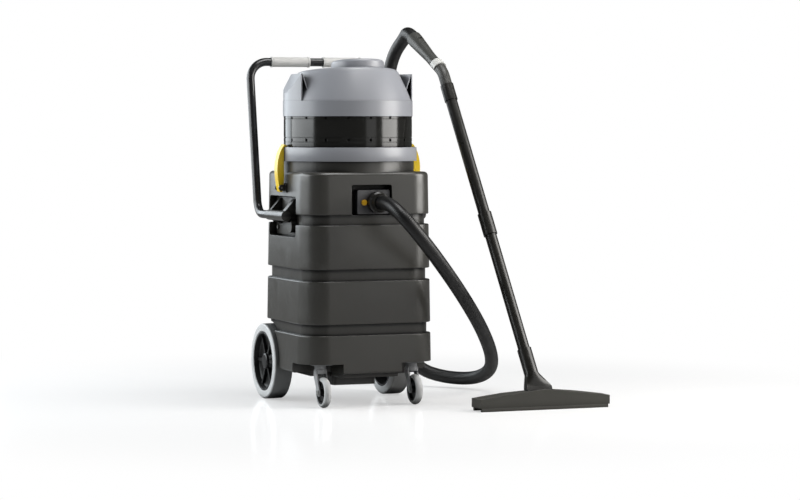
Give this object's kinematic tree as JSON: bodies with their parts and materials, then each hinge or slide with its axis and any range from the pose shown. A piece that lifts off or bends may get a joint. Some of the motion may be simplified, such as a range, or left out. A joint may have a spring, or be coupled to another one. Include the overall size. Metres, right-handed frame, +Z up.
{
  "type": "wet and dry vacuum cleaner",
  "caption": "Upright wet and dry vacuum cleaner: moulded tank on wheels and casters, latched motor head, push handle, hose, wand and floor tool.",
  "frame": {"origin": "on the floor under the axis of the tank", "axes": "+Z up; -Y towards the hose inlet and the casters; +X to the right of someone who faces the inlet"},
  "size_m": [0.8775, 0.8497, 1.1331],
  "materials": {
    "tank_plastic": "moulded, fine texture",
    "frame_steel": "black powder coat",
    "zinc_steel": "zinc plated",
    "wheel_grey": "non-marking grey",
    "wheel_dark": "moulded",
    "wheel_cap": "satin",
    "button_amber": "satin",
    "slider_white": "satin",
    "caster_grey": "satin",
    "caster_hub": "satin",
    "grip_grey": "soft touch",
    "latch_yellow": "glossy",
    "head_grey": "semi-matte moulded",
    "vent_black": "glossy",
    "seal_rubber": "matt",
    "inlet_grey": "satin",
    "wand_black": "satin",
    "wand_grip": "fine texture",
    "tool_grey": "fine texture",
    "tool_strip": "matt",
    "hose_black": "satin",
    "motor_metal": "cast",
    "fan_plastic": "plain"
  },
  "bodies": {
    "machine": {"bracket_bolts": "zinc_steel", "caster_left_mount": "caster_grey", "caster_right_mount": "caster_grey", "chassis": "tank_plastic", "cord_gland": "seal_rubber", "float_cage": "tank_plastic", "handle_bracket_left": "tank_plastic", "handle_bracket_right": "tank_plastic", "handle_grip_left": "grip_grey", "handle_grip_right": "grip_grey", "handle_tube": "frame_steel", "head_base": "head_grey", "head_cap": "head_grey", "head_dome": "head_grey", "head_gasket": "seal_rubber", "hose": "hose_black", "hose_connector": "wand_black", "inlet_deflector": "tank_plastic", "inlet_plate": "inlet_grey", "latch_mounts": "tank_plastic", "latch_pins": "zinc_steel", "motor_left": "motor_metal", "motor_right": "motor_metal", "rear_axle": "zinc_steel", "tank": "tank_plastic", "tool_neck": "wand_black", "vent_ring": "vent_black", "wand_coupling_lower": "wand_black", "wand_coupling_upper": "wand_black", "wand_handle": "wand_grip", "wand_lower_tube": "wand_black", "wand_upper_tube": "wand_black"},
    "wheel_left": {"wheel_left_rim": "wheel_dark", "wheel_left_tyre": "wheel_grey", "wheel_left_cap": "wheel_cap"},
    "caster_left_swivel": {"caster_left_fork": "caster_grey", "caster_left_axle": "zinc_steel"},
    "caster_left_roller": {"caster_left_hub": "caster_hub", "caster_left_tread": "wheel_grey"},
    "latch_left_body": {"latch_left": "latch_yellow"},
    "switch_left_body": {"switch_left": "wand_black"},
    "fan_left_body": {"fan_left": "fan_plastic"},
    "wheel_right": {"wheel_right_rim": "wheel_dark", "wheel_right_tyre": "wheel_grey", "wheel_right_cap": "wheel_cap"},
    "caster_right_swivel": {"caster_right_fork": "caster_grey", "caster_right_axle": "zinc_steel"},
    "caster_right_roller": {"caster_right_hub": "caster_hub", "caster_right_tread": "wheel_grey"},
    "latch_right_body": {"latch_right": "latch_yellow"},
    "switch_right_body": {"switch_right": "wand_black"},
    "fan_right_body": {"fan_right": "fan_plastic"},
    "button_body": {"inlet_button": "button_amber"},
    "float_body": {"float_ball": "fan_plastic"},
    "tool": {"tool_head": "tool_grey", "tool_blade_front": "tool_strip", "tool_blade_rear": "tool_strip", "tool_pivot_pin": "zinc_steel"},
    "slider_body": {"air_slider": "slider_white"}
  },
  "joints": [
    {"name": "wheel_left_spin", "type": "hinge", "parent": "machine", "child": "wheel_left", "pos_m": [-0.192, 0.147, 0.114], "axis": [1, 0, 0], "continuous": true},
    {"name": "caster_left_turn", "type": "hinge", "parent": "machine", "child": "caster_left_swivel", "pos_m": [-0.144, -0.152, 0.105], "axis": [0, 0, 1], "continuous": true},
    {"name": "caster_left_roll", "type": "hinge", "parent": "caster_left_swivel", "child": "caster_left_roller", "pos_m": [-0.144, -0.18, 0.045], "axis": [1, 0, 0], "continuous": true},
    {"name": "latch_left_open", "type": "hinge", "parent": "machine", "child": "latch_left_body", "pos_m": [-0.216, 0, 0.642], "axis": [0, -1, 0], "range_deg": [0, 60]},
    {"name": "switch_left_rock", "type": "hinge", "parent": "machine", "child": "switch_left_body", "pos_m": [-0.024, 0.182, 0.877], "axis": [1, 0, 0], "range_deg": [0, 20]},
    {"name": "fan_left_spin", "type": "hinge", "parent": "machine", "child": "fan_left_body", "pos_m": [-0.076, 0, 0.9], "axis": [0, 0, 1], "continuous": true},
    {"name": "wheel_right_spin", "type": "hinge", "parent": "machine", "child": "wheel_right", "pos_m": [0.192, 0.147, 0.114], "axis": [1, 0, 0], "continuous": true},
    {"name": "caster_right_turn", "type": "hinge", "parent": "machine", "child": "caster_right_swivel", "pos_m": [0.144, -0.152, 0.105], "axis": [0, 0, 1], "continuous": true},
    {"name": "caster_right_roll", "type": "hinge", "parent": "caster_right_swivel", "child": "caster_right_roller", "pos_m": [0.144, -0.18, 0.045], "axis": [1, 0, 0], "continuous": true},
    {"name": "latch_right_open", "type": "hinge", "parent": "machine", "child": "latch_right_body", "pos_m": [0.216, 0, 0.642], "axis": [0, 1, 0], "range_deg": [0, 60]},
    {"name": "switch_right_rock", "type": "hinge", "parent": "machine", "child": "switch_right_body", "pos_m": [0.024, 0.182, 0.877], "axis": [1, 0, 0], "range_deg": [0, 20]},
    {"name": "fan_right_spin", "type": "hinge", "parent": "machine", "child": "fan_right_body", "pos_m": [0.076, 0, 0.9], "axis": [0, 0, 1], "continuous": true},
    {"name": "button_press", "type": "slide", "parent": "machine", "child": "button_body", "axis": [0, 1, 0], "range_m": [0, 0.004], "stiffness_N_per_m": 300, "springref_m": -0.001},
    {"name": "float_rise", "type": "slide", "parent": "machine", "child": "float_body", "axis": [0, 0, 1], "range_m": [0, 0.028]},
    {"name": "tool_tilt", "type": "hinge", "parent": "machine", "child": "tool", "pos_m": [0.431, -0.44, 0.038], "axis": [1, 0, 0], "range_deg": [-15, 35]},
    {"name": "air_slide", "type": "slide", "parent": "machine", "child": "slider_body", "axis": [-0.129, 0.8437, 0.5211], "range_m": [0, 0.015]}
  ]
}
